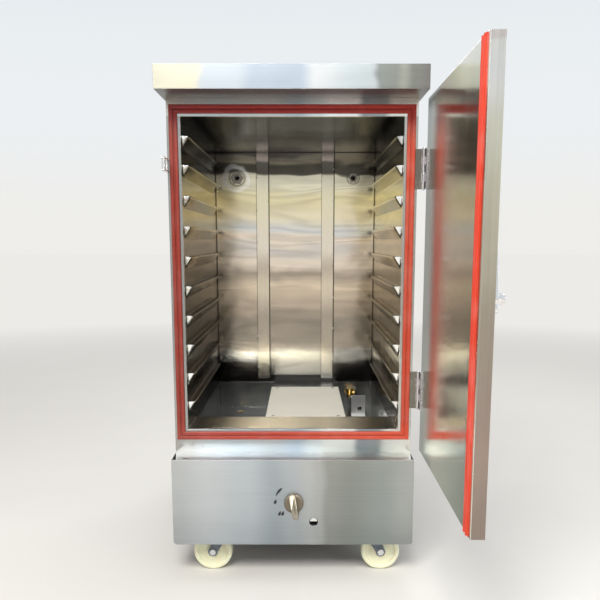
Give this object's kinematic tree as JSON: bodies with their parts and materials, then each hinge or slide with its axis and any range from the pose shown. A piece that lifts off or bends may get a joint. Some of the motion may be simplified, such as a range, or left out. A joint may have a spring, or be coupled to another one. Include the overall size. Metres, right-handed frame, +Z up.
{
  "type": "rice steamer cabinet",
  "caption": "Gas rice steamer cabinet on swivel castors: insulated steel casing, open hinged door with latch, ledged chamber over a water tank, control box with knob.",
  "frame": {"origin": "middle of the footprint of the whole part, with its door open, on the floor", "axes": "+X to the right seen from the front, +Y from the front to the back, +Z up"},
  "size_m": [0.545, 1.1506, 0.9885],
  "materials": {
    "casing_steel": "brushed",
    "chamber_steel": "polished",
    "tank_steel": "stained satin",
    "door_steel": "polished",
    "fittings_steel": "bright",
    "frame_steel": "satin",
    "burner_iron": "matt",
    "gas_fittings": "satin",
    "insulation_foam": "matt foam",
    "cabinet_silicone": "satin",
    "door_silicone": "satin",
    "knob_plastic": "satin",
    "castor_steel": "satin",
    "axle_zinc": "zinc",
    "wheel_nylon": "satin"
  },
  "bodies": {
    "cabinet": {"side_panel_left": "casing_steel", "side_panel_right": "casing_steel", "back_panel": "casing_steel", "roof_panel": "casing_steel", "top_cap": "casing_steel", "base_frame": "frame_steel", "front_frame": "casing_steel", "control_panel": "casing_steel", "cabinet_insulation": "insulation_foam", "cabinet_gasket": "cabinet_silicone", "liner_left": "chamber_steel", "liner_right": "chamber_steel", "liner_top": "chamber_steel", "liner_back": "chamber_steel", "back_wall_strips": "chamber_steel", "back_centre_panel": "chamber_steel", "steam_port_left": "fittings_steel", "steam_port_right": "fittings_steel", "water_tank": "tank_steel", "front_sill": "chamber_steel", "fire_box": "tank_steel", "splash_plate": "chamber_steel", "splash_plate_screws": "fittings_steel", "flue_duct": "tank_steel", "burner": "burner_iron", "gas_pipe": "gas_fittings", "gas_valve": "gas_fittings", "float_valve": "gas_fittings", "float_guard": "chamber_steel", "drain_valve": "gas_fittings", "hinge_frame_leaves": "fittings_steel", "hinge_pins": "fittings_steel", "keeper_bracket": "fittings_steel", "keeper_pin": "fittings_steel", "castor_plates": "frame_steel"},
    "door": {"door_outer_skin": "door_steel", "door_inner_skin": "door_steel", "door_insulation": "insulation_foam", "door_strip_seal": "door_silicone", "hinge_door_leaves": "fittings_steel", "latch_boss": "fittings_steel"},
    "latch": {"latch_lever": "fittings_steel"},
    "roller": {"keeper_roller": "fittings_steel"},
    "knob": {"gas_knob": "knob_plastic", "valve_stem": "fittings_steel"},
    "float": {"float_arm": "fittings_steel", "float_ball": "fittings_steel"},
    "drain": {"drain_lever": "fittings_steel"},
    "fork_front_left": {"castor_fork_front_left": "castor_steel", "castor_axle_front_left": "axle_zinc"},
    "wheel_front_left": {"castor_wheel_front_left": "wheel_nylon"},
    "fork_front_right": {"castor_fork_front_right": "castor_steel", "castor_axle_front_right": "axle_zinc"},
    "wheel_front_right": {"castor_wheel_front_right": "wheel_nylon"},
    "fork_rear_left": {"castor_fork_rear_left": "castor_steel", "castor_axle_rear_left": "axle_zinc"},
    "wheel_rear_left": {"castor_wheel_rear_left": "wheel_nylon"},
    "fork_rear_right": {"castor_fork_rear_right": "castor_steel", "castor_axle_rear_right": "axle_zinc"},
    "wheel_rear_right": {"castor_wheel_rear_right": "wheel_nylon"}
  },
  "joints": [
    {"name": "door_swing", "type": "hinge", "parent": "cabinet", "child": "door", "pos_m": [0.22875, -0.0855, 0.60025], "axis": [0, 0, 1], "range_deg": [-90, 90]},
    {"name": "latch_turn", "type": "hinge", "parent": "door", "child": "latch", "pos_m": [0.25905, -0.55175, 0.599], "axis": [1, 0, 0], "range_deg": [0, 12]},
    {"name": "roller_spin", "type": "hinge", "parent": "cabinet", "child": "roller", "pos_m": [-0.26625, -0.12275, 0.82], "axis": [0, 0, 1], "continuous": true},
    {"name": "knob_turn", "type": "hinge", "parent": "cabinet", "child": "knob", "pos_m": [-0.0225, -0.13975, 0.16], "axis": [0, -1, 0], "range_deg": [0, 180]},
    {"name": "float_swing", "type": "hinge", "parent": "cabinet", "child": "float", "pos_m": [0.1293, 0.47425, 0.252], "axis": [-1, 0, 0], "range_deg": [0, 25]},
    {"name": "drain_turn", "type": "hinge", "parent": "cabinet", "child": "drain", "pos_m": [-0.1745, 0.46325, 0.176], "axis": [0, 1, 0], "range_deg": [0, 90]},
    {"name": "swivel_front_left", "type": "hinge", "parent": "cabinet", "child": "fork_front_left", "pos_m": [-0.16645, -0.08575, 0.0872], "axis": [0, 0, 1], "continuous": true},
    {"name": "roll_front_left", "type": "hinge", "parent": "fork_front_left", "child": "wheel_front_left", "pos_m": [-0.19145, -0.08575, 0.04], "axis": [0, 1, 0], "continuous": true},
    {"name": "swivel_front_right", "type": "hinge", "parent": "cabinet", "child": "fork_front_right", "pos_m": [0.13225, -0.08575, 0.0872], "axis": [0, 0, 1], "continuous": true},
    {"name": "roll_front_right", "type": "hinge", "parent": "fork_front_right", "child": "wheel_front_right", "pos_m": [0.15725, -0.08575, 0.04], "axis": [0, 1, 0], "continuous": true},
    {"name": "swivel_rear_left", "type": "hinge", "parent": "cabinet", "child": "fork_rear_left", "pos_m": [-0.16645, 0.51325, 0.0872], "axis": [0, 0, 1], "continuous": true},
    {"name": "roll_rear_left", "type": "hinge", "parent": "fork_rear_left", "child": "wheel_rear_left", "pos_m": [-0.19145, 0.51325, 0.04], "axis": [0, 1, 0], "continuous": true},
    {"name": "swivel_rear_right", "type": "hinge", "parent": "cabinet", "child": "fork_rear_right", "pos_m": [0.13225, 0.51325, 0.0872], "axis": [0, 0, 1], "continuous": true},
    {"name": "roll_rear_right", "type": "hinge", "parent": "fork_rear_right", "child": "wheel_rear_right", "pos_m": [0.15725, 0.51325, 0.04], "axis": [0, 1, 0], "continuous": true}
  ]
}
